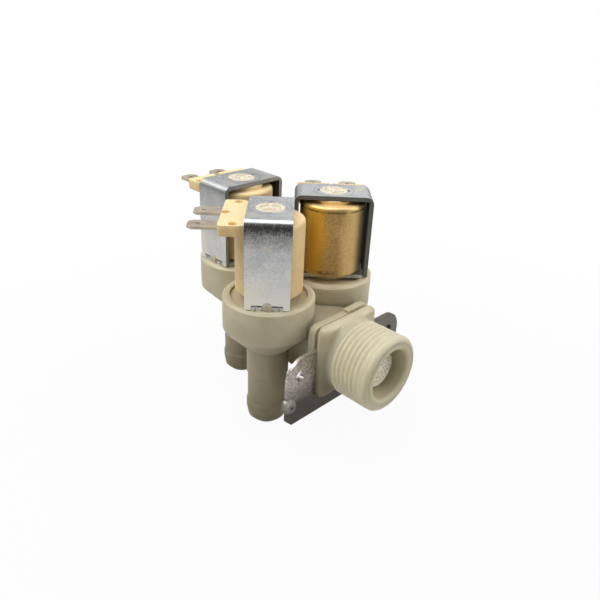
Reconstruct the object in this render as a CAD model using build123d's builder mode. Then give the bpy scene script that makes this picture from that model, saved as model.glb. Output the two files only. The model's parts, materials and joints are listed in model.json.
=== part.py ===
from build123d import *

import math
import os

os.makedirs("parts", exist_ok=True)

# Three-way solenoid water valve, in millimetres.
# The origin is the centre of the inlet mouth. The inlet points to -Y, and +Z is up.
# The valve stands on the ends of its three outlet tubes.

# Plan of the three valves: two side by side behind the inlet, one further back
side_angle = 45.0
yoke_gap = 0.3
cup_setback = 2.36
row_gap = 0.29
place_digits = 2

# Inlet spigot for a G 3/4 hose nut, 26.44 over the crests and 24.12 at the thread's root
thread_root_r = 12.06
spigot_edge = 0.6
mouth_round = 1.2
inlet_bore_r = 8.7
inlet_bore_depth = 11.0
inlet_bore_step = 0.7
spigot_base_r = 2.0

# Two square flanges with a slot between them for the mounting bracket
flange_y = 17.9
flange_half = 13.4
flange_corner = 2.4
flange_round = 1.8
front_flange_t = 2.7
slot_w = 1.5
rear_flange_t = 2.5
rear_flange_drop = 0.9
rear_flange_drop_x = 3.0
neck_r = 11.0

# Manifold behind the flanges: a square-shouldered block, then a round gallery
manifold_half = 11.4
manifold_corner = 7.0
manifold_l = 12.0
gallery_wall = 2.5
gallery_end_gap = 0.3

# Cups, funnels and outlet tubes
rim_margin = 1.79
rim_z = 18.4
rim_round = 0.8
funnel_top_z = 6.4
funnel_low_z = -2.0
outlet_r = 7.4
outlet_shank_r = 7.0
outlet_step_z = -12.0
outlet_ease = 0.6
barb_top_z = -24.5
barb_low_z = -27.0
barb_ease = 1.0
outlet_end_z = -32.0
outlet_tip_r = 6.0
outlet_tip_h = 1.6
outlet_tip_ease = 0.8
outlet_bore_r = 4.6
outlet_bore_top_z = -6.0
seat_bore_r = 4.4

# Diaphragm chamber in each cup
ledge_z = 11.9
ledge_w = 1.4
funnel_wall = 2.2
seat_z = 11.0
seat_r = 6.4

# Locating nibs on the cup's rim, one for each leg of the yoke
nib_r = 1.3
nib_top_z = 21.1
nib_out = 0.45
nib_land = 0.75
nib_gap = 0.15
nib_root = 0.5
nib_lift = 0.4

# Steel yoke: an inverted U, open towards the terminals
yoke_l = 26.8
yoke_w = 14.5
yoke_t = 1.5
yoke_top_z = 48.1
yoke_foot_z = 18.7
yoke_bend_r = 2.6
yoke_hole_gap = 0.15
foot_corner = 0.5

# Lower pole plate, its four tabs in the feet of the yoke
plate_t = 1.3
tab_in = 1.7
tab_out = 4.9
tab_gap = 0.12
slot_rise = 0.55
stake_w = 0.5
stake_d = 0.7
stake_v = 3.75
plate_hole_gap = 0.15
plate_edge_gap = 0.1

# Encapsulated coil with its terminal block
coil_gap = 0.6
coil_chamfer = 1.1
coil_shoulder_drop = 1.4
coil_shoulder_r = 1.2
coil_disc_wall = 1.8
coil_disc_round = 0.6
coil_wall = 1.6
coil_side_wall = 1.7
block_gap = 0.2
block_flare = 0.9
block_flare_v = 2.8
block_v = 15.3
block_top_gap = 0.5
block_t = 3.7
block_corner = 1.0
block_round = 0.9
end_notch_r = 1.4
end_notch_v = 1.3
side_pit_r = 1.4
side_pit_in = 2.0
side_pit_v = 10.8
pit_deep = 1.3

# Push-on terminals
tab_w = 6.3
tab_t = 0.8
tab_side = 2.95
tab_low = 2.2
tab_tip_v = 25.0
tab_root = 4.0
tab_chamfer = 1.3
tab_hole_r = 0.85
tab_hole_back = 3.3

# Bobbin and copper winding
bobbin_wall = 0.8
bobbin_flange_t = 0.9
winding_inset = 0.4
wound_gap = 0.05

# Guide tube, whose flange clamps the diaphragm and whose closed end fills the yoke's hole
guide_share = 0.4076
guide_wall = 0.65
guide_cap_t = 1.2
guide_flange_gap = 0.15
guide_hub_r = 7.6
guide_recess_d = 1.0
dome_inset = 0.4
dome_in_r = 5.6
dome_top_z = 17.2
dome_low_z = 16.2
guide_gap = 0.15
cap_rim = 1.35
cap_recess_d = 0.4
cap_rib_w = 1.1
cap_ribs = 3

# Moving core of each valve
plunger_gap = 0.08
plunger_l = 24.5
plunger_foot_z = 16.0
plunger_chamfer = 0.5
plunger_flute_w = 1.4
plunger_flute_d = 0.7
spring_well_r = 2.6
spring_well_d = 6.5
tip_r = 2.1
tip_out = 1.4
tip_in = 1.8

# Return spring
spring_side_gap = 0.33
spring_wire_r = 0.22
spring_pitch = 2.2

# Diaphragm and its moulded centre
bead_w = 1.95
bead_gap = 0.15
bead_t = 2.0
web_t = 0.7
pad_lap = 1.0
convolution_w = 1.0
centre_r = 3.2
centre_disc_r = 4.8
centre_disc_t = 0.7
centre_foot_r = 4.0
centre_foot_t = 0.9
nozzle_r = 1.3
pilot_r = 0.5
fit_gap = 0.05
tip_gap = 0.1

# Strainer and flow regulator in the inlet
strainer_y = 4.6
strainer_face_t = 0.8
strainer_wall = 0.8
strainer_brim_w = 2.5
strainer_brim_t = 0.8
strainer_l = 3.2
inlet_fit = 0.1
strainer_rings = 3
strainer_hole_r = 0.35
strainer_margin = 0.45
holder_wall = 2.35
ring_hole_r = 2.2
ring_t = 1.8
holder_t = 2.9
holder_hole_r = 3.0
holder_rim_t = 0.9

# Mounting bracket in the slot between the flanges
bracket_t = 1.2
bracket_mid_x = 2.5
bracket_top_z = 5.2
bracket_low_z = -19.6
bracket_corner = 7.4
bracket_chamfer = 2.4
throat_gap = 0.15
gate_angle = 19.0
gate_flare = 1.2
screw_pitch = 45.6
screw_edge = 5.9
screw_z = -1.6
screw_r = 2.0
burr_t = 0.7
burr_h = 0.9
pip_r = 2.7
pip_z = -11.4
pip_in = 1.1
pip_h = 1.3
pip_angle = 30.0
pip_round = 0.5
pip_dent_r = 0.7
pip_dent_d = 0.5

# Radii and half widths that follow from the sizes above
leg_out = yoke_l / 2
leg_in = leg_out - yoke_t
guide_r = guide_share * leg_in
coil_r = leg_in - coil_gap
block_half = leg_in - block_gap + block_flare
tab_u = block_half - tab_side - tab_w / 2
bobbin_flange_r = coil_r - coil_side_wall
winding_r = bobbin_flange_r - winding_inset
guide_bore_r = guide_r - guide_wall
yoke_hole_r = guide_r + yoke_hole_gap
plunger_r = guide_bore_r - plunger_gap
spring_r = spring_well_r - spring_side_gap - spring_wire_r
bobbin_bore_r = guide_r + guide_gap
bobbin_r = bobbin_bore_r + bobbin_wall
coil_disc_r = bobbin_r + coil_disc_wall
cap_recess_r = guide_r - cap_rim
cavity_r = leg_out + nib_out - nib_land
plate_reach = math.hypot(leg_in - plate_edge_gap, yoke_w / 2)
cup_r = plate_reach + rim_margin
chamber_r = cavity_r - ledge_w
bead_in_r = cavity_r - bead_gap - bead_w
dome_r = bead_in_r - dome_inset
pad_r = seat_r + pad_lap
convolution_r = (pad_r + bead_in_r) / 2
gallery_r = inlet_bore_r - inlet_bore_step
brim_r = inlet_bore_r - inlet_fit
crown_r = brim_r - strainer_brim_w
strainer_spacing = (crown_r - strainer_wall - strainer_hole_r - strainer_margin) / strainer_rings
ring_r = brim_r - holder_wall - fit_gap
bracket_w = screw_pitch + 2 * screw_edge

# Places and levels that follow from the sizes above
slot_y = flange_y + front_flange_t
rear_flange_y = slot_y + slot_w
manifold_y = rear_flange_y + rear_flange_t
side_reach = leg_out * math.cos(math.radians(side_angle)) + yoke_w / 2 * math.sin(math.radians(side_angle))
side_x = round(side_reach + yoke_gap / 2, place_digits)
row_y = round(manifold_y + cup_setback + cup_r, place_digits)
rear_y = round(row_y + 2 * cup_r + row_gap, place_digits)
gallery_end_y = rear_y - seat_r - gallery_end_gap
bracket_y = slot_y + (slot_w - bracket_t) / 2
under_yoke_z = yoke_top_z - yoke_t
plate_z = rim_z
coil_z = plate_z + plate_t
coil_shoulder_z = under_yoke_z - coil_shoulder_drop
block_top_z = under_yoke_z - block_top_gap
tab_z = block_top_z - tab_low
bead_z = ledge_z
guide_flange_z = bead_z + bead_t
plunger_top_z = plunger_foot_z + plunger_l
well_z = plunger_top_z - spring_well_d
guide_ceiling_z = yoke_top_z - guide_cap_t
tip_z = plunger_foot_z - tip_out
nozzle_top_z = tip_z - tip_gap
shoulder_wall = coil_shoulder_z - coil_wall


def station(x, y, angle):
    """Level plane on a valve's axis: x runs from leg to leg, y towards the terminals."""
    along = (math.cos(math.radians(angle)), math.sin(math.radians(angle)), 0)
    return Plane(origin=(x, y, 0), x_dir=along, z_dir=(0, 0, 1))


def upright(base):
    """Standing plane through a valve's axis: x from leg to leg, y up."""
    return Plane(origin=base.origin, x_dir=base.x_dir, z_dir=-base.y_dir)


def facing_leg(base, u):
    """Standing plane at distance u along the leg direction: x towards the terminals, y up."""
    return Plane(origin=base.origin + base.x_dir * u, x_dir=base.y_dir, z_dir=base.x_dir)


def across(y):
    """Standing plane across the inlet at y: x to the right, y up, and its back towards +Y."""
    return Plane.XZ.offset(-y)


def upright_axis(base):
    return Axis(base.origin, (0, 0, 1))


def finish(part, name):
    part.label = name
    export_step(part, f"parts/{name}.step")


def turned(base, points, mode=Mode.ADD):
    """Turn a closed outline of radius and height about a valve's axis."""
    with BuildSketch(upright(base)) as profile:
        with BuildLine():
            Polyline(*points, close=True)
        make_face()
    revolve(profile.sketch, axis=upright_axis(base), mode=mode)


def turned_about_inlet(points, mode=Mode.ADD):
    """Turn a closed outline of radius and distance from the mouth about the inlet's axis."""
    with BuildSketch(Plane.XY) as profile:
        with BuildLine():
            Polyline(*points, close=True)
        make_face()
    revolve(profile.sketch, axis=Axis.Y, mode=mode)


stations = {
    "left": station(-side_x, row_y, side_angle),
    "rear": station(0, rear_y, 0),
    "right": station(side_x, row_y, -side_angle),
}

# Outline of a cup with its funnel and outlet tube, from the tube's end up to the rim
cup_outline = [
    (0, outlet_end_z),
    (outlet_tip_r - outlet_tip_ease, outlet_end_z),
    (outlet_tip_r, outlet_end_z + outlet_tip_ease),
    (outlet_tip_r + outlet_tip_ease, outlet_end_z + outlet_tip_h),
    (outlet_r, barb_low_z),
    (outlet_r, barb_top_z),
    (outlet_shank_r, barb_top_z + barb_ease),
    (outlet_shank_r, outlet_step_z - outlet_ease),
    (outlet_r, outlet_step_z),
    (outlet_r, funnel_low_z),
    (cup_r, funnel_top_z),
    (cup_r, rim_z - rim_round),
    (cup_r - rim_round, rim_z),
    (0, rim_z),
]

# The chamber's floor runs beside the funnel, one wall further in
funnel_slope = (funnel_top_z - funnel_low_z) / (cup_r - outlet_r)
floor_rise = funnel_wall * math.hypot(1, funnel_slope)


def floor_z(r):
    return funnel_top_z - (cup_r - r) * funnel_slope + floor_rise


chamber_outline = [
    (0, rim_z + nib_lift),
    (cavity_r, rim_z + nib_lift),
    (cavity_r, ledge_z),
    (chamber_r, ledge_z),
    (chamber_r, floor_z(chamber_r)),
    (seat_r, floor_z(seat_r)),
    (seat_r, seat_z),
    (0, seat_z),
]


def cup(base):
    """One cup with its funnel, outlet tube and two nibs, before it is hollowed."""
    nib_axis_z = nib_top_z - nib_r
    with BuildPart() as block:
        turned(base, cup_outline)
        for foot in (-leg_out - nib_out, leg_in + nib_gap):
            with BuildSketch(facing_leg(base, foot)):
                with Locations((0, nib_axis_z)):
                    Circle(nib_r)
                    Rectangle(2 * nib_r, nib_axis_z - rim_z + nib_root, align=(Align.CENTER, Align.MAX))
            extrude(amount=leg_out + nib_out - leg_in - nib_gap)
    return block.part


# Valve body: inlet spigot, flanges, manifold, three cups and three outlets in one moulding
with BuildPart() as valve_body:
    with BuildSketch(across(flange_y)):
        RectangleRounded(2 * flange_half, 2 * flange_half, flange_corner)
    extrude(amount=-front_flange_t)
    fillet(valve_body.faces().sort_by(Axis.Y)[0].edges(), flange_round)
    with BuildSketch(across(rear_flange_y)) as rear_flange:
        with Locations((0, -rear_flange_drop / 2)):
            RectangleRounded(2 * flange_half, 2 * flange_half - rear_flange_drop, flange_corner)
        with Locations((flange_half, flange_half)):
            Rectangle(flange_half - rear_flange_drop_x, flange_half, align=(Align.MAX, Align.MAX))
        fillet(rear_flange.vertices().sort_by_distance((flange_half, flange_half))[0], flange_corner)
    extrude(amount=-rear_flange_t)
    turned_about_inlet([
        (0, 0),
        (thread_root_r - spigot_edge, 0),
        (thread_root_r, spigot_edge),
        (thread_root_r, slot_y),
        (neck_r, slot_y),
        (neck_r, rear_flange_y),
        (0, rear_flange_y),
    ])
    rings = valve_body.edges().filter_by(GeomType.CIRCLE).filter_by_position(Axis.Y, flange_y, flange_y)
    fillet(rings.filter_by(lambda edge: edge.radius > thread_root_r - spigot_edge), spigot_base_r)
    with BuildSketch(across(manifold_y)):
        RectangleRounded(2 * manifold_half, 2 * manifold_half, manifold_corner)
    extrude(amount=-manifold_l)
    with BuildSketch(across(manifold_y)):
        Circle(gallery_r + gallery_wall)
    extrude(amount=manifold_y - gallery_end_y - gallery_wall)
    for base in stations.values():
        add(cup(base))
    for base in stations.values():
        turned(base, chamber_outline, Mode.SUBTRACT)
        with BuildSketch(base.offset(outlet_end_z)):
            Circle(outlet_bore_r)
        extrude(amount=outlet_bore_top_z - outlet_end_z, mode=Mode.SUBTRACT)
        with BuildSketch(base.offset(outlet_bore_top_z)):
            Circle(seat_bore_r)
        extrude(amount=seat_z - outlet_bore_top_z, mode=Mode.SUBTRACT)
    turned_about_inlet([
        (0, 0),
        (inlet_bore_r, 0),
        (inlet_bore_r, inlet_bore_depth),
        (gallery_r, inlet_bore_depth),
        (gallery_r, gallery_end_y),
        (0, gallery_end_y),
    ], Mode.SUBTRACT)
    mouth = valve_body.edges().filter_by(GeomType.CIRCLE).filter_by_position(Axis.Y, 0, 0)
    fillet(mouth.sort_by(SortBy.RADIUS)[0], mouth_round)
finish(valve_body.part, "valve_body")

# Mounting bracket: a steel fork pushed up round the neck, with an ear on each side
gate_x = (neck_r + throat_gap) * math.cos(math.radians(gate_angle))
gate_z = (neck_r + throat_gap) * math.sin(math.radians(gate_angle))
left_x = bracket_mid_x - bracket_w / 2
right_x = bracket_mid_x + bracket_w / 2
pip_place = (left_x + pip_in, pip_z)
screw_places = [(bracket_mid_x + side * screw_pitch / 2, screw_z) for side in (-1, 1)]
with BuildPart() as mounting_bracket:
    with BuildSketch(across(bracket_y)) as blank:
        with BuildLine():
            Polyline(
                (left_x, bracket_low_z),
                (right_x, bracket_low_z),
                (right_x, bracket_top_z),
                (left_x, bracket_top_z),
                close=True,
            )
        make_face()
        fillet(blank.vertices().group_by(Axis.Y)[-1], bracket_corner)
        chamfer(blank.vertices().group_by(Axis.Y)[0], bracket_chamfer)
        Circle(neck_r + throat_gap, mode=Mode.SUBTRACT)
        with BuildLine():
            Polyline(
                (-gate_x, 0),
                (gate_x, 0),
                (gate_x, gate_z),
                (gate_x + gate_flare, bracket_top_z),
                (-gate_x - gate_flare, bracket_top_z),
                (-gate_x, gate_z),
                close=True,
            )
        make_face(mode=Mode.SUBTRACT)
    extrude(amount=-bracket_t)
    with BuildSketch(across(bracket_y)):
        with Locations(*screw_places):
            Circle(screw_r + burr_t)
    extrude(amount=-bracket_t - burr_h)
    with BuildSketch(across(bracket_y)) as pip:
        with Locations(pip_place):
            Circle(pip_r)
    extrude(amount=-bracket_t)
    extrude(pip.sketch, amount=pip_h, taper=pip_angle)
    fillet(mounting_bracket.faces().sort_by(Axis.Y)[0].edges(), pip_round)
    with BuildSketch(across(bracket_y - pip_h)):
        with Locations(pip_place):
            Circle(pip_dent_r)
    extrude(amount=-pip_dent_d, mode=Mode.SUBTRACT)
    with BuildSketch(across(bracket_y)):
        with Locations(*screw_places):
            Circle(screw_r)
    extrude(amount=-bracket_t - burr_h, mode=Mode.SUBTRACT)
finish(mounting_bracket.part, "mounting_bracket")

# Strainer: a hat with a perforated crown, its brim pushed into the bore
with BuildPart() as inlet_strainer:
    turned_about_inlet([
        (0, strainer_y),
        (crown_r, strainer_y),
        (crown_r, strainer_y + strainer_l - strainer_brim_t),
        (brim_r, strainer_y + strainer_l - strainer_brim_t),
        (brim_r, strainer_y + strainer_l),
        (crown_r - strainer_wall, strainer_y + strainer_l),
        (crown_r - strainer_wall, strainer_y + strainer_face_t),
        (0, strainer_y + strainer_face_t),
    ])
    with BuildSketch(across(strainer_y)):
        for ring in range(1, strainer_rings + 1):
            with PolarLocations(ring * strainer_spacing, 6 * ring):
                RegularPolygon(strainer_hole_r, 6)
    extrude(amount=-strainer_face_t, mode=Mode.SUBTRACT)
finish(inlet_strainer.part, "inlet_strainer")

# Flow regulator: a holder against the step of the bore, and the rubber ring that it carries
holder_y = inlet_bore_depth - holder_t
ring_seat_y = inlet_bore_depth - holder_rim_t
with BuildPart() as regulator_holder:
    turned_about_inlet([
        (holder_hole_r, ring_seat_y),
        (ring_r + fit_gap, ring_seat_y),
        (ring_r + fit_gap, holder_y),
        (brim_r, holder_y),
        (brim_r, inlet_bore_depth),
        (holder_hole_r, inlet_bore_depth),
    ])
finish(regulator_holder.part, "regulator_holder")

with BuildPart() as regulator_ring:
    turned_about_inlet([
        (ring_hole_r, ring_seat_y - ring_t),
        (ring_r, ring_seat_y - ring_t),
        (ring_r, ring_seat_y),
        (ring_hole_r, ring_seat_y),
    ])
finish(regulator_ring.part, "regulator_ring")


def terminal_block(base):
    """Block that carries the terminals, wider past the yoke, with a notch and two pits."""
    waist = block_half - block_flare
    with BuildPart() as block:
        with BuildSketch(base.offset(block_top_z - block_t)) as foot:
            with BuildLine():
                Polyline(
                    (-waist, 0),
                    (-waist, yoke_w / 2),
                    (-block_half, yoke_w / 2 + block_flare_v),
                    (-block_half, block_v),
                    (block_half, block_v),
                    (block_half, yoke_w / 2 + block_flare_v),
                    (waist, yoke_w / 2),
                    (waist, 0),
                    close=True,
                )
            make_face()
            fillet(foot.vertices().group_by(Axis.Y)[-1], block_corner)
        extrude(amount=block_t)
        fillet(block.faces().sort_by(Axis.Z)[0].edges(), block_round)
        with BuildSketch(base.offset(block_top_z)):
            with Locations((0, block_v - end_notch_v)):
                Circle(end_notch_r)
                Rectangle(end_notch_r, 2 * end_notch_v, align=(Align.CENTER, Align.MIN))
            with Locations((side_pit_in - block_half, side_pit_v), (block_half - side_pit_in, side_pit_v)):
                Circle(side_pit_r)
        extrude(amount=-pit_deep, mode=Mode.SUBTRACT)
    return block.part


def coil_shell(base):
    """Moulded cover of the coil, open at both ends for the bobbin's tube."""
    block = terminal_block(base)
    tabs = terminals(base)
    with BuildPart() as shell:
        turned(base, [
            (0, coil_z),
            (coil_r - coil_chamfer, coil_z),
            (coil_r, coil_z + coil_chamfer),
            (coil_r, coil_shoulder_z),
            (0, coil_shoulder_z),
        ])
        fillet(shell.edges().sort_by(Axis.Z)[-1], coil_shoulder_r)
        with BuildSketch(base.offset(coil_shoulder_z)):
            Circle(coil_disc_r)
        extrude(amount=under_yoke_z - coil_shoulder_z)
        fillet(shell.edges().sort_by(Axis.Z)[-1], coil_disc_round)
        add(block)
        with BuildSketch(base.offset(coil_z)):
            Circle(bobbin_r)
        extrude(amount=under_yoke_z - coil_z, mode=Mode.SUBTRACT)
        with BuildSketch(base.offset(coil_z + coil_wall)):
            Circle(bobbin_flange_r)
        extrude(amount=shoulder_wall - coil_z - coil_wall, mode=Mode.SUBTRACT)
        add(tabs, mode=Mode.SUBTRACT)
    return shell.part


def terminals(base):
    """Two flat push-on tabs, each with its root in the block."""
    with BuildPart() as pair:
        with BuildSketch(base.offset(tab_z - tab_t / 2)) as plan:
            with Locations((-tab_u, 0), (tab_u, 0)):
                with Locations((0, (block_v - tab_root + tab_tip_v) / 2)):
                    Rectangle(tab_w, tab_tip_v - block_v + tab_root)
            chamfer(plan.vertices().group_by(Axis.Y)[-1], tab_chamfer)
            with Locations((-tab_u, tab_tip_v - tab_hole_back), (tab_u, tab_tip_v - tab_hole_back)):
                Circle(tab_hole_r, mode=Mode.SUBTRACT)
        extrude(amount=tab_t)
    return pair.part


def bobbin(base):
    """Spool that the copper wire is wound on; its tube lines the coil."""
    with BuildPart() as spool:
        low = coil_z + coil_wall
        turned(base, [
            (bobbin_bore_r, coil_z),
            (bobbin_r, coil_z),
            (bobbin_r, low),
            (bobbin_flange_r, low),
            (bobbin_flange_r, low + bobbin_flange_t),
            (bobbin_r, low + bobbin_flange_t),
            (bobbin_r, shoulder_wall - bobbin_flange_t),
            (bobbin_flange_r, shoulder_wall - bobbin_flange_t),
            (bobbin_flange_r, shoulder_wall),
            (bobbin_r, shoulder_wall),
            (bobbin_r, under_yoke_z),
            (bobbin_bore_r, under_yoke_z),
        ])
    return spool.part


def winding(base):
    """Copper wire on the bobbin, as one wound ring."""
    with BuildPart() as wound:
        low = coil_z + coil_wall + bobbin_flange_t + wound_gap
        high = shoulder_wall - bobbin_flange_t - wound_gap
        turned(base, [
            (bobbin_r + wound_gap, low),
            (winding_r, low),
            (winding_r, high),
            (bobbin_r + wound_gap, high),
        ])
    return wound.part


def yoke(base):
    """Bent steel strap over the coil, its feet notched for the pole plate and the nibs."""
    tab_mid = (tab_in + tab_out) / 2
    with BuildPart() as strap:
        with BuildSketch(upright(base)) as arch:
            with Locations((0, yoke_foot_z)):
                Rectangle(yoke_l, yoke_top_z - yoke_foot_z, align=(Align.CENTER, Align.MIN))
            fillet(arch.vertices().group_by(Axis.Y)[-1], yoke_bend_r)
        extrude(amount=yoke_w / 2, both=True)
        with BuildSketch(upright(base)) as window:
            with Locations((0, yoke_foot_z)):
                Rectangle(2 * leg_in, under_yoke_z - yoke_foot_z, align=(Align.CENTER, Align.MIN))
            fillet(window.vertices().group_by(Axis.Y)[-1], yoke_bend_r - yoke_t)
        extrude(amount=yoke_w / 2, both=True, mode=Mode.SUBTRACT)
        with BuildSketch(base.offset(under_yoke_z)):
            Circle(yoke_hole_r)
        extrude(amount=yoke_t, mode=Mode.SUBTRACT)
        foot_ends = strap.edges().group_by(Axis.Z)[0].filter_by(Axis(base.origin, base.x_dir))
        fillet(foot_ends, foot_corner)
        for foot in (-leg_out, leg_in):
            with BuildSketch(facing_leg(base, foot)):
                with Locations((-tab_mid, yoke_foot_z), (tab_mid, yoke_foot_z)):
                    Rectangle(tab_out - tab_in + 2 * tab_gap, 2 * (coil_z + slot_rise - yoke_foot_z))
                with Locations((0, nib_top_z - nib_r)):
                    Circle(nib_r + tab_gap)
                with Locations((0, yoke_foot_z)):
                    Rectangle(2 * (nib_r + tab_gap), nib_top_z - nib_r - yoke_foot_z,
                              align=(Align.CENTER, Align.MIN))
            extrude(amount=yoke_t, mode=Mode.SUBTRACT)
    return strap.part


def pole_plate(base):
    """Steel plate under the coil, its four tabs split by the punch that staked them to the yoke."""
    tab_mid = (tab_in + tab_out) / 2
    with BuildPart() as plate:
        with BuildSketch(base.offset(plate_z)):
            Rectangle(2 * (leg_in - plate_edge_gap), yoke_w)
            with Locations((0, -tab_mid), (0, tab_mid)):
                Rectangle(yoke_l, tab_out - tab_in)
            with GridLocations(yoke_l, 2 * stake_v, 2, 2):
                Rectangle(2 * stake_d, stake_w, mode=Mode.SUBTRACT)
            Circle(guide_r + plate_hole_gap, mode=Mode.SUBTRACT)
        extrude(amount=plate_t)
    return plate.part


def guide_tube(base):
    """Closed plastic tube for the plunger, with a flange over the diaphragm."""
    with BuildPart() as tube:
        turned(base, [
            (0, guide_ceiling_z),
            (guide_bore_r, guide_ceiling_z),
            (guide_bore_r, dome_top_z),
            (dome_in_r, dome_top_z),
            (dome_r, dome_low_z),
            (dome_r, guide_flange_z),
            (cavity_r - guide_flange_gap, guide_flange_z),
            (cavity_r - guide_flange_gap, plate_z - guide_recess_d),
            (guide_hub_r, plate_z - guide_recess_d),
            (guide_hub_r, plate_z),
            (guide_r, plate_z),
            (guide_r, yoke_top_z),
            (cap_recess_r, yoke_top_z),
            (cap_recess_r, yoke_top_z - cap_recess_d),
            (0, yoke_top_z - cap_recess_d),
        ])
        with BuildSketch(base.offset(yoke_top_z - cap_recess_d)):
            with PolarLocations(0, cap_ribs):
                Rectangle(cap_recess_r, cap_rib_w, align=(Align.MIN, Align.CENTER))
        extrude(amount=cap_recess_d)
    return tube.part


def plunger(base):
    """Steel plunger with two flutes, a well for its spring and a socket for its tip."""
    with BuildPart() as core:
        turned(base, [
            (0, plunger_foot_z),
            (plunger_r - plunger_chamfer, plunger_foot_z),
            (plunger_r, plunger_foot_z + plunger_chamfer),
            (plunger_r, plunger_top_z - plunger_chamfer),
            (plunger_r - plunger_chamfer, plunger_top_z),
            (0, plunger_top_z),
        ])
        with BuildSketch(base.offset(plunger_top_z)):
            Circle(spring_well_r)
        extrude(amount=-spring_well_d, mode=Mode.SUBTRACT)
        with BuildSketch(base.offset(plunger_foot_z)):
            Circle(tip_r)
        extrude(amount=tip_in, mode=Mode.SUBTRACT)
        with BuildSketch(base.offset(plunger_foot_z)):
            with Locations((plunger_r, 0), (-plunger_r, 0)):
                Rectangle(2 * plunger_flute_d, plunger_flute_w)
        extrude(amount=plunger_l, mode=Mode.SUBTRACT)
    return core.part


def plunger_tip(base):
    """Rubber tip that closes the pilot hole."""
    with BuildPart() as tip:
        with BuildSketch(base.offset(tip_z)):
            Circle(tip_r)
        extrude(amount=tip_out + tip_in)
    return tip.part


def return_spring(base):
    """Compression spring between the plunger's well and the closed end of the tube."""
    low = well_z + spring_wire_r + fit_gap
    high = guide_ceiling_z - spring_wire_r - fit_gap
    with BuildPart() as spring:
        with BuildLine() as path:
            Helix(spring_pitch, high - low, spring_r, center=base.origin + Vector(0, 0, low))
        with BuildSketch(Plane(origin=path.line @ 0, z_dir=path.line % 0)):
            RegularPolygon(spring_wire_r, 6)
        sweep()
    return spring.part


def diaphragm(base):
    """Rubber diaphragm: a thick rim, a thin web with one fold, and a thick pad at the middle."""
    web_low = bead_z + (bead_t - web_t) / 2
    fold_in = convolution_r - convolution_w / 2
    fold_out = convolution_r + convolution_w / 2
    with BuildPart() as rubber:
        turned(base, [
            (centre_r + fit_gap, seat_z + fit_gap),
            (pad_r, seat_z + fit_gap),
            (pad_r, web_low),
            (fold_in, web_low),
            (convolution_r, web_low + web_t),
            (fold_out, web_low),
            (bead_in_r, web_low),
            (bead_in_r + web_t, bead_z),
            (cavity_r - bead_gap, bead_z),
            (cavity_r - bead_gap, bead_z + bead_t),
            (bead_in_r, bead_z + bead_t),
            (bead_in_r, web_low + web_t),
            (fold_out + web_t / 2, web_low + web_t),
            (convolution_r, web_low + 2 * web_t),
            (fold_in - web_t / 2, web_low + web_t),
            (pad_r, web_low + web_t),
            (centre_r + fit_gap, web_low + web_t),
        ])
    return rubber.part


def diaphragm_centre(base):
    """Plastic centre of the diaphragm, with the pilot hole and its nozzle."""
    web_top = bead_z + (bead_t + web_t) / 2
    with BuildPart() as centre:
        turned(base, [
            (pilot_r, seat_z - centre_foot_t),
            (centre_foot_r, seat_z - centre_foot_t),
            (centre_foot_r, seat_z),
            (centre_r, seat_z),
            (centre_r, web_top + fit_gap),
            (centre_disc_r, web_top + fit_gap),
            (centre_disc_r, web_top + fit_gap + centre_disc_t),
            (nozzle_r, web_top + fit_gap + centre_disc_t),
            (nozzle_r, nozzle_top_z),
            (pilot_r, nozzle_top_z),
        ])
    return centre.part


makers = {
    "coil_shell": coil_shell,
    "terminals": terminals,
    "bobbin": bobbin,
    "winding": winding,
    "yoke": yoke,
    "pole_plate": pole_plate,
    "guide_tube": guide_tube,
    "plunger": plunger,
    "plunger_tip": plunger_tip,
    "return_spring": return_spring,
    "diaphragm": diaphragm,
    "diaphragm_centre": diaphragm_centre,
}
for place, base in stations.items():
    for name, make in makers.items():
        finish(make(base), f"{name}_{place}")
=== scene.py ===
import json
import math

import bpy
from mathutils import Matrix, Vector


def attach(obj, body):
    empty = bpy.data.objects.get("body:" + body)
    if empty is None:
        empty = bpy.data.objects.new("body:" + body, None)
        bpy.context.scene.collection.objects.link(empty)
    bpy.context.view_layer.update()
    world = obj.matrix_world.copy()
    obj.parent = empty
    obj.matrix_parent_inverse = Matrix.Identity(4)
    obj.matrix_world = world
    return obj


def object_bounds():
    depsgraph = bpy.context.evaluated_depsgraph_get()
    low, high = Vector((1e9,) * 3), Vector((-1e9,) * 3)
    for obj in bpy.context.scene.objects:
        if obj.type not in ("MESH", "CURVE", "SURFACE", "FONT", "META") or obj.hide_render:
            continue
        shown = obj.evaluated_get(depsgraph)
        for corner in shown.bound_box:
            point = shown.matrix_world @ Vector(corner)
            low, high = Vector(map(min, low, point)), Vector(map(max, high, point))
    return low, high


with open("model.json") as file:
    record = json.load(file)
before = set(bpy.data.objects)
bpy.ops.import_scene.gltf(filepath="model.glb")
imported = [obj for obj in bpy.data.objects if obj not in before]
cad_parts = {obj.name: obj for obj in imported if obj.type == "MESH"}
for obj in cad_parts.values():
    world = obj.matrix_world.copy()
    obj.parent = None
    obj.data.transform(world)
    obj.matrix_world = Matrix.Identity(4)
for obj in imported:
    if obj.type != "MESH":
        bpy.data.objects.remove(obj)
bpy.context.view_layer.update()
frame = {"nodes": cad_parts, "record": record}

# Camera, fitted to the photograph: angles in degrees, place and clip distances in metres
CAMERA_AZIMUTH = -46.268
CAMERA_ELEVATION = 27.33
CAMERA_ROLL = 2.651
CAMERA_PLACE = (-0.135136, -0.087152, 0.107365)
CAMERA_FOCUS_PX = 590.318
CAMERA_CLIP = 0.005, 20
IMAGE_PX = 600
SENSOR_MM = 36

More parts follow.
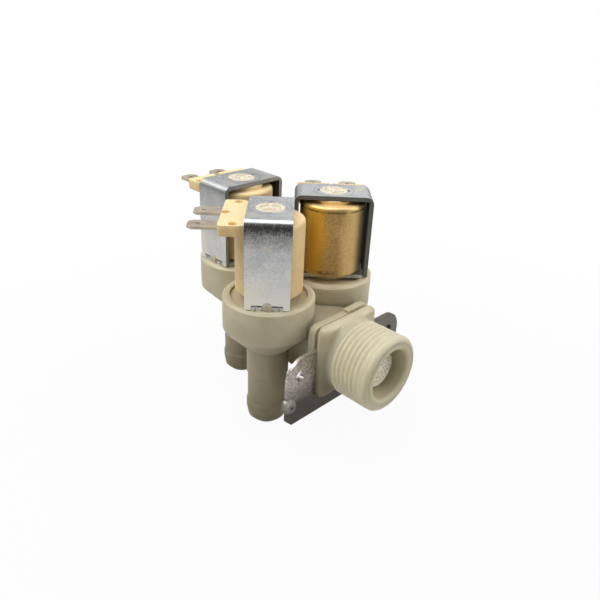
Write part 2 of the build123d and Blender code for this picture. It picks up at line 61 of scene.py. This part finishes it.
# The inlet's G 3/4 thread, in metres: a right-hand ridge that grows out of a smooth nose
THREAD_ROOT = 0.01209
THREAD_CREST = 0.01322
THREAD_PITCH = 0.001814
THREAD_FIRST = 0.0035
THREAD_PHASE = 0.25
SLEEVE_START = -0.00003
SLEEVE_END = 0.0158
SLEEVE_SINK = 0.0002
NOSE_INNER = 0.0112
NOSE_ROUND = 0.0019
GROOVE_DEPTH = 0.00064
GROOVE_SHARPNESS = 1.6
GROOVE_BEGIN = 0.0012
GROOVE_FADE = 0.003
GROOVE_AT_NOSE = 0.5
THREAD_RUN_OUT = 0.0011
THREAD_AROUND = 144
THREAD_STEPS = 14

# Plan of the three valves: place of each axis in metres, and how far it is turned, in degrees
STATIONS = {
    "left": (-0.01475, 0.0426, 45),
    "rear": (0.0, 0.07417, 0),
    "right": (0.01475, 0.0426, -45),
}

# Strength of each yoke's painted dark reflection under the bend, of its painted pale reflection at the
# foot, and of its dark cut edges, from 0 to 1
YOKE_REFLECTIONS_AND_EDGES = {
    "left": (0.95, 0.75, 0.3),
    "rear": (0.3, 0.35, 0.6),
    "right": (0.4, 0.35, 0.95),
}

# Spans in metres over which a mark on the body comes in
SPIGOT_BASE = 0.0165
FLANGE_FACE = 0.0178
BODY_LOW = -0.026, 0.018
THREAD_TOP = 0.004, 0.0125
THREAD_BELOW = -0.002, -0.012
NECK_BAND = 0.029, 0.0045, 0.003
NECK_SIDE = 0.0125, 0.0115
NECK_TOP = 0.0130, 0.0112
NECK_BELOW = 0.0, -0.008
FLANGE_BAND = 0.021, 0.004, 0.001
FLANGE_LOW = 0.006, -0.009
GUIDE_LOW = 0.030, 0.020

# The same on a coil
COIL_TOP = 0.0448, 0.0456
AMBER_LEFT = -0.0055, -0.0005
AMBER_RIGHT = 0.0015, 0.0055
AMBER_LEFT_RIM = -0.0068, -0.0092
AMBER_RIGHT_RIM = 0.0085, 0.0100
AMBER_WANDER = 0.0022
AMBER_SHOULDER = 0.0452, 0.0446
AMBER_FOOT = 0.0200, 0.0212
AMBER_GROOVE_LINE = 0.0436, 0.00012, 0.00035
AMBER_SCUFF = 0.0216, 0.0003, 0.0009
AMBER_SCUFF_SIDE = -0.0012, 0.0028, 0.0022
AMBER_FRONT = 0.002, -0.002

# The same on a yoke, as heights and as distances from the valve's axis
YOKE_LEG = 0.0119, 0.0129
YOKE_RAGGED = 0.001
# Heights of the painted dark reflection under the bend and of its darker core
YOKE_DARK_REFLECTION = 0.0380, 0.0452
YOKE_DARK_REFLECTION_END = 0.0478, 0.0473
YOKE_DEEP_REFLECTION = 0.0436, 0.0458
YOKE_DEEP_REFLECTION_END = 0.0476, 0.0472
YOKE_FOOT = 0.036, 0.022
YOKE_CORNER = 0.031, 0.025
YOKE_CORNER_SIDE = 0.0015, 0.0065
YOKE_TOP = 0.0479, 0.0480
YOKE_RING = 0.0069, 0.0001, 0.0003
YOKE_TABS = 0.0053, 0.0002, 0.0004
YOKE_TABS_SIDE = 0, 0.0006, 0.0006
YOKE_CUT_EDGE = 0.00718, 0.00724
YOKE_INSIDE = 0.0121, 0.0119
YOKE_UNDER_TOP = 0.0468, 0.0466

# The same on the bracket, and the centre of its raised pip
BRACKET_LOW = -0.003, -0.012
BRACKET_RIGHT = 0.0, 0.012
PIP_PLACE = (-0.0251, 0.0198, -0.0114)
PIP_EDGE = 0.0025, 0.0034

# Parts of a noise's range that are taken to 0..1: crisp patches and soft ones
CRISP = 0.35, 0.65
SOFT = 0.3, 0.7

# How deep light goes into a moulding, in metres, and how far each colour spreads
NYLON_DEPTH = 0.003
THREAD_DEPTH = 0.004
RESIN_DEPTH = 0.0025
NYLON_SPREAD = (1.0, 0.92, 0.75)
RESIN_SPREAD = (1.0, 0.6, 0.25)

# Tones, each pair as light and dark
BODY_TONES = (0.69, 0.625, 0.46), (0.57, 0.505, 0.345)
THREAD_TONES = (0.70, 0.64, 0.46), (0.64, 0.58, 0.40)
GUIDE_TONES = (0.78, 0.70, 0.54), (0.68, 0.59, 0.44)
WHITE_TONES = (0.86, 0.80, 0.64), (0.79, 0.73, 0.58)
TINNED_TONES = (0.66, 0.57, 0.46), (0.50, 0.43, 0.34)
COPPER_TONES = (0.60, 0.26, 0.13), (0.42, 0.16, 0.07)
CORE_TONES = (0.50, 0.50, 0.52), (0.36, 0.36, 0.38)
RUBBER_TONES = (0.035, 0.035, 0.035), (0.02, 0.02, 0.02)
# Painted shade: a darker tone for the spigot than for the rest of the body
SPIGOT_SHADE = (0.58, 0.53, 0.37)
# Painted shade for the thread's top and painted light for its underside
THREAD_TOP_SHADE = (0.58, 0.53, 0.39)
THREAD_UNDERSIDE_LIGHT = (0.86, 0.79, 0.58)
# Painted shade for the body low down, and round its neck and low on its flange
BODY_LOW_SHADE = (0.29, 0.25, 0.155)
BODY_RECESS_SHADE = (0.17, 0.145, 0.09)
# A darker, browner tone for the guide tube towards its lower end
GUIDE_LOWER_TONE = (0.62, 0.53, 0.34)

# Resin: light, dark and blotch; gold skin: each pair as dark and light
RESIN_TONES = (0.88, 0.67, 0.34), (0.80, 0.58, 0.28), (0.74, 0.50, 0.22)
# Painted light that makes the resin coil's top paler
RESIN_TOP_LIGHT = (0.95, 0.80, 0.50)
AMBER_BASE = (0.6, 0.4, 0.12)
# Painted reflections of the satin skin across the amber coil, from gold at its left through brown to
# pale at its right
AMBER_GOLD_REFLECTION = (0.62, 0.34, 0.035), (0.78, 0.45, 0.055)
AMBER_BROWN_REFLECTION = (0.36, 0.21, 0.06), (0.56, 0.36, 0.13)
AMBER_PALE_REFLECTION = (0.62, 0.39, 0.13), (0.76, 0.53, 0.22)
# Painted light on the amber coil's top, a painted reflection on its left rim and painted light on its
# right rim
AMBER_TOP_LIGHT = (0.90, 0.62, 0.26), (0.96, 0.70, 0.35)
AMBER_LEFT_RIM_REFLECTION = (0.92, 0.58, 0.12)
AMBER_RIGHT_RIM_LIGHT = (0.98, 0.80, 0.46)
# Painted shade of the groove under the amber coil's shoulder
AMBER_GROOVE_SHADE = (0.13, 0.06, 0.015)
AMBER_SCUFF_TONE = (0.10, 0.05, 0.02)

# Sheet steel: light, dark and stain, and then the roughness
ZINC = (0.84, 0.86, 0.86), (0.62, 0.64, 0.65), (0.86, 0.80, 0.69), 0.4
STEEL = (0.95, 0.90, 0.84), (0.66, 0.61, 0.56), (0.97, 0.93, 0.88), 0.38
SHEET_METALLIC = 0.85
# Painted dark reflections under a yoke's bend
YOKE_DARK_REFLECTION_TONE = (0.07, 0.07, 0.062)
YOKE_DEEP_REFLECTION_TONE = (0.02, 0.02, 0.018)
# Painted reflections on a yoke's leg: pale at the foot and warm at a corner
YOKE_FOOT_REFLECTION = (0.92, 0.90, 0.84)
YOKE_CORNER_REFLECTION = (0.98, 0.88, 0.70)
YOKE_RING_TONE = (0.16, 0.17, 0.19)
YOKE_TABS_TONE = (0.05, 0.05, 0.06)
YOKE_EDGE_TONE = (0.13, 0.13, 0.11)
# Painted shade on a yoke's inner faces
YOKE_INSIDE_SHADE = (0.022, 0.022, 0.018)
BRACKET_SPECK = (0.22, 0.19, 0.17)
# Painted shade on the bracket low down and on its right ear
BRACKET_LOW_SHADE = (0.095, 0.083, 0.075)
BRACKET_RIGHT_SHADE = (0.11, 0.096, 0.085)

# The floor, whose white fades in between two distances from the middle, and the world
FLOOR_HALF = 3.0
FLOOR_TONE = (0.55, 0.54, 0.52)
FLOOR_WHITE_FROM = 0.08, 0.24
FLOOR_WHITE = 0.94, 1.0
FLOOR_MIRRORED = 0.17
WORLD_TONE = (0.93, 0.96, 1.0)
WORLD_STRENGTH = 0.07
WORLD_MIRRORED = 0.22

# The lamps: place in metres, width of the disk in metres, and power in watts
LAMP_AIM = (0, 0.045, 0.01)
LAMPS = {
    "top_lamp": ((0.02, 0.16, 0.75), 0.5, 2.7),
    "right_low_lamp": ((0.504, -0.464, 0.232), 0.4, 1.7),
    "right_high_lamp": ((0.341, -0.301, 0.575), 0.4, 1.35),
    "front_lamp": ((-0.341, -0.301, 0.575), 0.4, 0.4),
    "left_lamp": ((-0.482, 0.04, 0.575), 0.4, 1.1),
    "rear_lamp": ((-0.341, 0.381, 0.575), 0.4, 2.5),
    "back_lamp": ((0.55, 0.35, 0.35), 0.4, 0.25),
}


def aim_camera():
    """The camera of the photograph: its back points away from what it looks at."""
    azimuth = math.radians(CAMERA_AZIMUTH)
    elevation = math.radians(CAMERA_ELEVATION)
    roll = math.radians(CAMERA_ROLL)
    back = Vector((
        math.sin(azimuth) * math.cos(elevation),
        -math.cos(azimuth) * math.cos(elevation),
        math.sin(elevation),
    ))
    right = Vector((math.cos(azimuth), math.sin(azimuth), 0))
    up = back.cross(right)
    turned_right = right * math.cos(roll) + up * math.sin(roll)
    turned_up = up * math.cos(roll) - right * math.sin(roll)
    data = bpy.data.cameras.new("camera")
    data.sensor_width = SENSOR_MM
    data.lens = CAMERA_FOCUS_PX / IMAGE_PX * SENSOR_MM
    data.clip_start, data.clip_end = CAMERA_CLIP
    camera = bpy.data.objects.new("camera", data)
    turn = Matrix((turned_right, turned_up, back)).transposed().to_4x4()
    camera.matrix_world = Matrix.Translation(CAMERA_PLACE) @ turn
    bpy.context.scene.collection.objects.link(camera)
    bpy.context.scene.camera = camera


def add_mesh(name, points, faces, smooth=True):
    mesh = bpy.data.meshes.new(name)
    mesh.from_pydata(points, [], faces)
    mesh.validate()
    if smooth:
        mesh.shade_smooth()
    piece = bpy.data.objects.new(name, mesh)
    bpy.context.scene.collection.objects.link(piece)
    return piece


class Shader:
    """A principled material with short calls for the nodes that vary over the surface."""

    def __init__(self, name, color, roughness, metallic=0.0):
        self.material = bpy.data.materials.new(name)
        self.material.use_nodes = True
        self.tree = self.material.node_tree
        self.surface = self.tree.nodes["Principled BSDF"]
        self.surface.inputs["Base Color"].default_value = (*color, 1)
        self.surface.inputs["Roughness"].default_value = roughness
        self.surface.inputs["Metallic"].default_value = metallic
        self.place = self.node("ShaderNodeTexCoord").outputs["Object"]

    def node(self, kind, **inputs):
        made = self.tree.nodes.new(kind)
        for key, value in inputs.items():
            made.inputs[key].default_value = value
        return made

    def link(self, start, end):
        self.tree.links.new(start, end)

    def noise(self, scale, detail=4.0, roughness=0.5, stretch=(1, 1, 1)):
        mapped = self.node("ShaderNodeMapping")
        mapped.inputs["Scale"].default_value = stretch
        self.link(self.place, mapped.inputs["Vector"])
        made = self.node("ShaderNodeTexNoise", Scale=scale, Detail=detail, Roughness=roughness)
        self.link(mapped.outputs["Vector"], made.inputs["Vector"])
        return made.outputs["Fac"]

    def ramp(self, value, low, high, start=0.0, end=1.0):
        """Takes value from low..high to start..end."""
        made = self.node("ShaderNodeMapRange")
        numbers = {"From Min": low, "From Max": high, "To Min": start, "To Max": end}
        for key, number in numbers.items():
            made.inputs[key].default_value = number
        self.link(value, made.inputs["Value"])
        return made.outputs["Result"]

    def patches(self, scale, detail, span=CRISP, start=0.0, end=1.0, roughness=0.5):
        """Noise of which the span of its range is taken to start..end."""
        return self.ramp(self.noise(scale, detail, roughness), *span, start, end)

    def mix(self, factor, first, second):
        made = self.node("ShaderNodeMix")
        made.data_type = "RGBA"
        self.link(factor, made.inputs["Factor"])
        for value, socket in ((first, made.inputs[6]), (second, made.inputs[7])):
            if isinstance(value, tuple):
                socket.default_value = (*value, 1)
            else:
                self.link(value, socket)
        return made.outputs[2]

    def math(self, operation, first, second=0):
        made = self.node("ShaderNodeMath")
        made.operation = operation
        for value, socket in ((first, made.inputs[0]), (second, made.inputs[1])):
            if isinstance(value, (int, float)):
                socket.default_value = value
            else:
                self.link(value, socket)
        return made.outputs[0]

    def product(self, first, *others):
        for other in others:
            first = self.math("MULTIPLY", first, other)
        return first

    def size(self, value):
        """The value without its sign."""
        return self.math("ABSOLUTE", value)

    def axis(self, name):
        """One coordinate of the point on the object, in metres."""
        made = self.node("ShaderNodeSeparateXYZ")
        self.link(self.place, made.inputs[0])
        return made.outputs[name]

    def along(self, station, turn=0):
        """Distance from a valve's axis in the plan, towards its right leg or turned from there."""
        x, y, angle = STATIONS[station]
        angle = math.radians(angle + turn)
        made = self.node("ShaderNodeVectorMath")
        made.operation = "DOT_PRODUCT"
        self.link(self.place, made.inputs[0])
        made.inputs[1].default_value = (math.cos(angle), math.sin(angle), 0)
        middle = x * math.cos(angle) + y * math.sin(angle)
        return self.math("SUBTRACT", made.outputs["Value"], middle)

    def distance(self, place):
        """Distance from a place on the object, in metres."""
        made = self.node("ShaderNodeVectorMath")
        made.operation = "DISTANCE"
        self.link(self.place, made.inputs[0])
        made.inputs[1].default_value = place
        return made.outputs["Value"]

    def band(self, value, middle, half, soft):
        """1 where value is within half of the middle, falling to 0 over the soft width."""
        away = self.size(self.math("SUBTRACT", value, middle))
        return self.ramp(away, half, half + soft, 1, 0)

    def color(self, socket):
        self.link(socket, self.surface.inputs["Base Color"])

    def roughness(self, socket):
        self.link(socket, self.surface.inputs["Roughness"])

    def metallic(self, socket):
        self.link(socket, self.surface.inputs["Metallic"])

    def translucent(self, weight, spread, depth):
        self.surface.inputs["Subsurface Weight"].default_value = weight
        self.surface.inputs["Subsurface Radius"].default_value = spread
        self.surface.inputs["Subsurface Scale"].default_value = depth

    def bump(self, height, depth):
        made = self.node("ShaderNodeBump", Strength=1.0, Distance=depth)
        self.link(height, made.inputs["Height"])
        self.link(made.outputs["Normal"], self.surface.inputs["Normal"])


def nylon(name, light, dark, shade_and_tone=None, depth=NYLON_DEPTH):
    """Unfilled nylon moulding: translucent and cloudy, with the painted light and shade and other tone
    that the given function adds.
    """
    shader = Shader(name, light, 0.42)
    cloud = shader.patches(90, 3)
    speck = shader.patches(1300, 2, (0.3, 0.75), 0, 0.35)
    tone = shader.mix(speck, shader.mix(cloud, dark, light), dark)
    shader.color(shade_and_tone(shader, tone) if shade_and_tone else tone)
    shader.roughness(shader.patches(600, 3, SOFT, 0.36, 0.5))
    shader.translucent(0.8, NYLON_SPREAD, depth)
    shader.bump(shader.noise(1800, 2), 0.00004)
    return shader.material


def thread_light_and_shade(shader, tone):
    """Painted shade darkens the thread on its top, and painted light makes it paler below."""
    height = shader.axis("Z")
    # Painted shade on the top, then painted light below
    tone = shader.mix(shader.ramp(height, *THREAD_TOP, 0, 0.8), tone, THREAD_TOP_SHADE)
    return shader.mix(shader.ramp(height, *THREAD_BELOW, 0, 0.8), tone, THREAD_UNDERSIDE_LIGHT)


def body_shading(shader, tone):
    """Painted shade: the spigot is darker than the rest of the body, and the body is darker and
    browner low down behind the spigot, round its neck and low on its flange.
    """
    height = shader.axis("Z")
    depth = shader.axis("Y")
    side = shader.size(shader.axis("X"))
    # Painted shade on the spigot, then low down behind it, then round the neck and low on the flange
    tone = shader.mix(shader.ramp(depth, FLANGE_FACE, SPIGOT_BASE), tone, SPIGOT_SHADE)
    behind = shader.ramp(depth, SPIGOT_BASE, FLANGE_FACE)
    low = shader.product(shader.ramp(height, *BODY_LOW, 1, 0), behind)
    tone = shader.mix(low, tone, BODY_LOW_SHADE)
    top = shader.ramp(height, *NECK_TOP, 0, 0.5)
    below = shader.ramp(height, *NECK_BELOW, 0, 0.4)
    neck = shader.product(shader.band(depth, *NECK_BAND), shader.ramp(side, *NECK_SIDE))
    neck = shader.product(neck, shader.math("ADD", top, below))
    flange_low = shader.ramp(height, *FLANGE_LOW, 0, 0.65)
    flange = shader.product(shader.band(depth, *FLANGE_BAND), flange_low)
    return shader.mix(shader.math("MAXIMUM", neck, flange), tone, BODY_RECESS_SHADE)


def guide_lower_darkening(shader, tone):
    """The guide tube's flange is browner than its cap."""
    return shader.mix(shader.ramp(shader.axis("Z"), *GUIDE_LOW, 0, 0.8), tone, GUIDE_LOWER_TONE)


def coil_resin(name, light, dark, blotch):
    """Coil moulding: warm resin, finely mottled, with painted light that makes its top paler."""
    shader = Shader(name, light, 0.4)
    cloud = shader.patches(120, 5, (0.4, 0.62), roughness=0.6)
    grain = shader.patches(1400, 2, (0.3, 0.8))
    tone = shader.mix(cloud, dark, light)
    tone = shader.mix(shader.product(grain, 0.35), tone, blotch)
    # Painted light on the top
    top = shader.ramp(shader.axis("Z"), *COIL_TOP, 0, 0.45)
    shader.color(shader.mix(top, tone, RESIN_TOP_LIGHT))
    shader.roughness(shader.patches(500, 3, SOFT, 0.36, 0.52))
    shader.translucent(0.35, RESIN_SPREAD, RESIN_DEPTH)
    shader.bump(shader.noise(1500, 3), 0.00005)
    return shader.material


def amber_coil(name, station):
    """The coil with the gold satin skin, whose satin reflections are painted: deep gold at its left,
    brownish in the middle, pale right; its top and right rim get painted light and the groove under
    its shoulder painted shade.
    """
    shader = Shader(name, AMBER_BASE, 0.34, metallic=0.35)
    across = shader.along(station)
    height = shader.axis("Z")
    grain = shader.noise(1700, 3, 0.65)
    fine = shader.ramp(grain, *CRISP)
    streak = shader.noise(260, 4, 0.6, (1, 1, 0.25))
    wander = shader.math("ADD", across, shader.ramp(streak, *SOFT, -AMBER_WANDER, AMBER_WANDER))
    gold, brown, pale, top = (
        shader.mix(fine, *tones) for tones in (AMBER_GOLD_REFLECTION, AMBER_BROWN_REFLECTION, AMBER_PALE_REFLECTION, AMBER_TOP_LIGHT)
    )
    # Painted reflections across the coil: gold, then brown, then pale
    tone = shader.mix(shader.ramp(wander, *AMBER_LEFT), gold, brown)
    tone = shader.mix(shader.ramp(wander, *AMBER_RIGHT), tone, pale)
    # Painted reflection on the left rim, painted light on the right rim
    tone = shader.mix(shader.ramp(across, *AMBER_LEFT_RIM), tone, AMBER_LEFT_RIM_REFLECTION)
    tone = shader.mix(shader.ramp(across, *AMBER_RIGHT_RIM), tone, AMBER_RIGHT_RIM_LIGHT)
    # Painted light on the top, kept off the sides
    side = shader.product(shader.ramp(height, *AMBER_SHOULDER), shader.ramp(height, *AMBER_FOOT))
    tone = shader.mix(side, top, tone)
    # Painted shade of the groove under the shoulder, as a broken line
    broken = shader.patches(420, 3, (0.38, 0.52), 0.25, 0.85)
    groove_shade = shader.product(shader.band(height, *AMBER_GROOVE_LINE), broken)
    scuff = shader.product(
        shader.band(height, *AMBER_SCUFF),
        shader.band(across, *AMBER_SCUFF_SIDE),
        shader.patches(900, 4, (0.4, 0.58), 0, 0.9, roughness=0.7),
        shader.ramp(shader.along(station, 90), *AMBER_FRONT),
    )
    tone = shader.mix(groove_shade, tone, AMBER_GROOVE_SHADE)
    shader.color(shader.mix(scuff, tone, AMBER_SCUFF_TONE))
    shader.roughness(shader.ramp(grain, *SOFT, 0.28, 0.44))
    shader.bump(shader.noise(1900, 3, 0.6), 0.00006)
    return shader.material


def sheet_steel(name, light, dark, stain, roughness, marks=None):
    """Plated sheet: rolling grain, cloudy plating and dried water stains."""
    shader = Shader(name, light, roughness, metallic=SHEET_METALLIC)
    cloud = shader.patches(160, 6, roughness=0.65)
    grain = shader.patches(2300, 3, (0.38, 0.6), roughness=0.6)
    patch = shader.patches(110, 4, (0.55, 0.72), 0, 0.7, roughness=0.55)
    tone = shader.mix(cloud, dark, light)
    darker = tuple(0.7 * value for value in dark)
    speckled = shader.mix(shader.product(grain, 0.6), tone, darker)
    tone = shader.mix(patch, speckled, stain)
    shader.roughness(shader.patches(300, 4, SOFT, roughness - 0.07, roughness + 0.1))
    shader.color(marks(shader, tone) if marks else tone)
    shader.bump(shader.noise(2200, 3, 0.6), 0.00003)
    return shader.material


def yoke_marks(station, dark_reflection_strength, foot_reflection_strength, raw_edge):
    """Marks of one yoke: painted dark reflections under the bend, painted pale and warm reflections at
    the foot, painted shade inside, and dark cut edges.
    """

    def marks(shader, tone):
        height = shader.axis("Z")
        across = shader.along(station)
        depth = shader.along(station, 90)
        leg = shader.ramp(shader.size(across), *YOKE_LEG)
        ragged = shader.patches(900, 5, SOFT, -YOKE_RAGGED, YOKE_RAGGED, roughness=0.7)
        edge = shader.math("ADD", height, ragged)
        # Painted dark reflection under the bend, with a darker core
        end = shader.ramp(height, *YOKE_DARK_REFLECTION_END)
        dark_reflection = shader.product(shader.ramp(edge, *YOKE_DARK_REFLECTION), end, leg, dark_reflection_strength)
        grit = shader.patches(2200, 3, (0.38, 0.54), 0.4, 1, roughness=0.7)
        tone = shader.mix(shader.product(dark_reflection, grit), tone, YOKE_DARK_REFLECTION_TONE)
        end = shader.ramp(height, *YOKE_DEEP_REFLECTION_END)
        deep_reflection = shader.product(shader.ramp(edge, *YOKE_DEEP_REFLECTION), end, leg, 0.7 * dark_reflection_strength)
        tone = shader.mix(deep_reflection, tone, YOKE_DEEP_REFLECTION_TONE)
        # Painted pale reflection at the foot, and a warm one at a corner
        foot = shader.product(shader.ramp(edge, *YOKE_FOOT, 0, foot_reflection_strength), leg)
        tone = shader.mix(foot, tone, YOKE_FOOT_REFLECTION)
        side = shader.ramp(depth, *YOKE_CORNER_SIDE)
        corner = shader.product(shader.ramp(edge, *YOKE_CORNER), side, leg, 0.6)
        tone = shader.mix(corner, tone, YOKE_CORNER_REFLECTION)
        squares = shader.math("ADD", shader.product(across, across), shader.product(depth, depth))
        reach = shader.math("SQRT", squares)
        top = shader.ramp(height, *YOKE_TOP)
        ring = shader.product(shader.band(reach, *YOKE_RING), top, 0.35)
        tone = shader.mix(ring, tone, YOKE_RING_TONE)
        side = shader.band(depth, *YOKE_TABS_SIDE)
        tabs = shader.product(shader.band(reach, *YOKE_TABS), side, top, 0.8)
        tone = shader.mix(tabs, tone, YOKE_TABS_TONE)
        rim = shader.ramp(shader.size(depth), *YOKE_CUT_EDGE, 0, raw_edge)
        tone = shader.mix(rim, tone, YOKE_EDGE_TONE)
        # Painted shade on the inner faces of the legs and under the top, matt and not metallic
        under = shader.ramp(height, *YOKE_UNDER_TOP)
        inside = shader.product(shader.ramp(shader.size(across), *YOKE_INSIDE), under)
        shader.metallic(shader.ramp(inside, 0, 1, SHEET_METALLIC, 0))
        shader.roughness(shader.ramp(inside, 0, 1, 0.42, 0.85))
        return shader.mix(shader.product(inside, 0.95), tone, YOKE_INSIDE_SHADE)

    return marks


def bracket_marks(shader, tone):
    """The bracket is speckled, with painted shade low down and on its right ear, and matt on its pip.
    """
    speck = shader.patches(1900, 3, (0.40, 0.56), 0.75, 0, roughness=0.7)
    tone = shader.mix(speck, tone, BRACKET_SPECK)
    off_pip = shader.ramp(shader.distance(PIP_PLACE), *PIP_EDGE)
    # Painted shade low down, weaker on the pip
    low = shader.ramp(shader.axis("Z"), *BRACKET_LOW, 0, 0.95)
    low = shader.product(low, shader.ramp(off_pip, 0, 1, 0.6, 1))
    tone = shader.mix(low, tone, BRACKET_LOW_SHADE)
    shader.metallic(shader.ramp(off_pip, 0, 1, 0.35, SHEET_METALLIC))
    shader.roughness(shader.ramp(off_pip, 0, 1, 0.7, 0.38))
    # Painted shade on the right ear
    right = shader.ramp(shader.axis("X"), *BRACKET_RIGHT, 0, 0.8)
    return shader.mix(right, tone, BRACKET_RIGHT_SHADE)


def plain_noise(name, light, dark, roughness, metallic=0.0, scale=300):
    """A quiet two-tone surface for small and inner pieces."""
    shader = Shader(name, light, roughness, metallic)
    shader.color(shader.mix(shader.patches(scale, 4), dark, light))
    shader.roughness(shader.patches(2 * scale, 3, SOFT, roughness - 0.06, roughness + 0.06))
    shader.bump(shader.noise(4 * scale, 2), 0.00002)
    return shader.material


def dress(node, material):
    piece = frame["nodes"][node]
    if not piece.material_slots:
        piece.data.materials.append(material)
    for slot in piece.material_slots:
        slot.material = material


def paint():
    """Gives every CAD node its material and returns the one for the inlet's thread."""
    white = plain_noise("white_plastic", *WHITE_TONES, 0.5)
    materials = {
        "body_nylon": nylon("body_nylon", *BODY_TONES, body_shading),
        "guide_plastic": nylon("guide_nylon", *GUIDE_TONES, guide_lower_darkening),
        "coil_plastic": coil_resin("coil_resin", *RESIN_TONES),
        "zinc_steel": sheet_steel("zinc_steel", *ZINC),
        "bracket_steel": sheet_steel("bracket_steel", *STEEL, bracket_marks),
        "terminal_metal": plain_noise("terminal_metal", *TINNED_TONES, 0.42, 0.6),
        "white_plastic": white,
        "bobbin_plastic": white,
        "copper": plain_noise("copper", *COPPER_TONES, 0.35, 0.9),
        "core_steel": plain_noise("core_steel", *CORE_TONES, 0.3, 0.9),
        "rubber": plain_noise("rubber", *RUBBER_TONES, 0.6),
    }
    for entry in frame["record"]["subparts"]:
        dress(entry["node"], materials[entry["material_slot"]])
    for station, reflections_and_edges in YOKE_REFLECTIONS_AND_EDGES.items():
        steel = sheet_steel(f"zinc_steel_{station}", *ZINC, yoke_marks(station, *reflections_and_edges))
        dress(f"yoke_{station}", steel)
    dress("coil_shell_right", amber_coil("coil_resin_amber", "right"))
    return nylon("thread_nylon", *THREAD_TONES, thread_light_and_shade, THREAD_DEPTH)


def thread_radius(turn, along):
    """Radius of the rounded ridge: grooves grow shallow towards the nose and run out at the flange."""
    phase = (along - THREAD_FIRST) / THREAD_PITCH + turn - THREAD_PHASE
    groove = 0.5 - 0.5 * math.cos(2 * math.pi * phase)
    fade = min(1, max(0, (along - GROOVE_BEGIN) / GROOVE_FADE))
    fade *= GROOVE_AT_NOSE + (1 - GROOVE_AT_NOSE) * min(1, max(0, along) / SLEEVE_END)
    radius = THREAD_CREST - GROOVE_DEPTH * groove ** GROOVE_SHARPNESS * fade
    nose = min(1, max(0, (along - SLEEVE_START) / NOSE_ROUND))
    radius = NOSE_INNER + (radius - NOSE_INNER) * math.sqrt(1 - (1 - nose) ** 2)
    tail = min(1, max(0, (SLEEVE_END - along) / THREAD_RUN_OUT))
    sunk = THREAD_ROOT - SLEEVE_SINK
    return sunk + (radius - sunk) * tail


def add_thread(material):
    """The helical ridge round the inlet spigot, as one sleeve over the spigot."""
    length = SLEEVE_END - SLEEVE_START
    rows = round(length / THREAD_PITCH * THREAD_STEPS)
    points = []
    for row in range(rows + 1):
        along = SLEEVE_START + length * row / rows
        for column in range(THREAD_AROUND):
            turn = column / THREAD_AROUND
            radius = thread_radius(turn, along)
            angle = 2 * math.pi * turn
            points.append((radius * math.cos(angle), along, radius * math.sin(angle)))
    faces = []
    for row in range(rows):
        start = row * THREAD_AROUND
        for column in range(THREAD_AROUND):
            first = start + column
            second = start + (column + 1) % THREAD_AROUND
            faces.append((first, second, second + THREAD_AROUND, first + THREAD_AROUND))
    sleeve = add_mesh("inlet_thread", points, faces)
    sleeve.data.materials.append(material)
    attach(sleeve, "root")


def add_floor():
    """Pale floor under the outlets, white to the camera, that keeps a trace of the shadow."""
    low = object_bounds()[0][2]
    half = FLOOR_HALF
    floor = add_mesh(
        "floor",
        [(-half, -half, low), (half, -half, low), (half, half, low), (-half, half, low)],
        [(0, 1, 2, 3)],
        smooth=False,
    )
    shader = Shader("floor_paper", FLOOR_TONE, 0.9)
    reach = shader.node("ShaderNodeVectorMath")
    reach.operation = "LENGTH"
    shader.link(shader.place, reach.inputs[0])
    white_out = shader.ramp(reach.outputs["Value"], *FLOOR_WHITE_FROM, *FLOOR_WHITE)
    glow = shader.node("ShaderNodeEmission", Strength=1.0)
    path = shader.node("ShaderNodeLightPath")
    blend = shader.node("ShaderNodeMixShader")
    output = shader.tree.nodes["Material Output"]
    seen = shader.product(path.outputs["Is Camera Ray"], white_out)
    mirrored = shader.product(path.outputs["Is Glossy Ray"], FLOOR_MIRRORED)
    shader.link(shader.math("MAXIMUM", seen, mirrored), blend.inputs["Fac"])
    shader.link(shader.surface.outputs[0], blend.inputs[1])
    shader.link(glow.outputs[0], blend.inputs[2])
    shader.link(blend.outputs[0], output.inputs["Surface"])
    floor.data.materials.append(shader.material)


def add_world():
    """A weak cool light from all round, which shows as white to the camera."""
    world = bpy.data.worlds.new("studio")
    world.use_nodes = True
    tree = world.node_tree
    background = tree.nodes["Background"]
    background.inputs["Color"].default_value = (*WORLD_TONE, 1)
    background.inputs["Strength"].default_value = WORLD_STRENGTH
    white = tree.nodes.new("ShaderNodeBackground")
    white.inputs["Color"].default_value = (1, 1, 1, 1)
    white.inputs["Strength"].default_value = 1.0
    path = tree.nodes.new("ShaderNodeLightPath")
    part = tree.nodes.new("ShaderNodeMath")
    part.operation = "MULTIPLY"
    part.inputs[1].default_value = WORLD_MIRRORED
    tree.links.new(path.outputs["Is Glossy Ray"], part.inputs[0])
    share = tree.nodes.new("ShaderNodeMath")
    share.operation = "MAXIMUM"
    tree.links.new(path.outputs["Is Camera Ray"], share.inputs[0])
    tree.links.new(part.outputs[0], share.inputs[1])
    blend = tree.nodes.new("ShaderNodeMixShader")
    tree.links.new(share.outputs[0], blend.inputs["Fac"])
    tree.links.new(background.outputs[0], blend.inputs[1])
    tree.links.new(white.outputs[0], blend.inputs[2])
    tree.links.new(blend.outputs[0], tree.nodes["World Output"].inputs["Surface"])
    bpy.context.scene.world = world


def add_lamp(name, place, size, power):
    data = bpy.data.lights.new(name, "AREA")
    data.shape = "DISK"
    data.size = size
    data.energy = power
    lamp = bpy.data.objects.new(name, data)
    lamp.location = place
    lamp.rotation_mode = "QUATERNION"
    lamp.rotation_quaternion = (Vector(LAMP_AIM) - Vector(place)).to_track_quat("-Z", "Y")
    bpy.context.scene.collection.objects.link(lamp)


bpy.context.scene.view_settings.view_transform = "Standard"
aim_camera()
add_thread(paint())
add_floor()
add_world()
for lamp_name, (lamp_place, lamp_size, lamp_power) in LAMPS.items():
    add_lamp(lamp_name, lamp_place, lamp_size, lamp_power)
